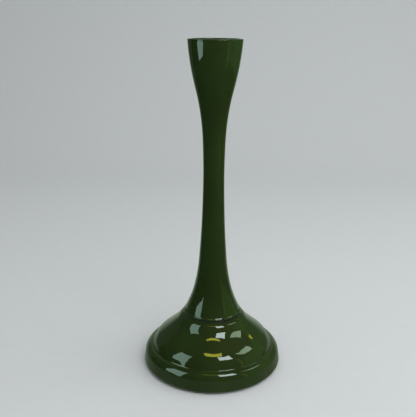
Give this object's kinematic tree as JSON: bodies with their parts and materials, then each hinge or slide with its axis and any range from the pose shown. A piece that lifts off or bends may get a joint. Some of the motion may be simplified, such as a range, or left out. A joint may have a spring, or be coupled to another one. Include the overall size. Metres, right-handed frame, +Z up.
{
  "type": "candlestick",
  "caption": "Tall glass candlestick: hollow trumpet stem clamped to a hollow domed foot, with a candle socket in the flared mouth and a lift-off drip pan.",
  "frame": {"origin": "middle of the circle that the foot stands on, at the felt ring's underside", "axes": "+Z up along the candlestick's axis, from foot to mouth"},
  "size_m": [0.1728, 0.1728, 0.4],
  "materials": {
    "green_glass": "opaque dark green glass, fire-polished gloss",
    "spun_brass": "spun and lacquered brass, satin",
    "zinc_steel": "zinc-plated steel",
    "turned_aluminium": "turned, uncoated",
    "black_rubber": "matt black rubber",
    "green_felt": "dark green wool felt"
  },
  "bodies": {
    "candlestick": {"stem_shell": "green_glass", "foot_shell": "green_glass", "joint_ring": "black_rubber", "centring_plug": "turned_aluminium", "tie_rod": "zinc_steel", "candle_socket": "spun_brass", "socket_gasket": "black_rubber", "jam_nut": "zinc_steel", "foot_gasket": "black_rubber", "clamp_washer": "zinc_steel", "spring_washer": "zinc_steel", "hex_nut": "zinc_steel", "felt_ring": "green_felt"},
    "drip_pan": {"drip_pan": "spun_brass"}
  },
  "joints": [
    {"name": "drip_pan_lift", "type": "slide", "parent": "candlestick", "child": "drip_pan", "axis": [0, 0, 1], "range_m": [0, 0.06]}
  ]
}
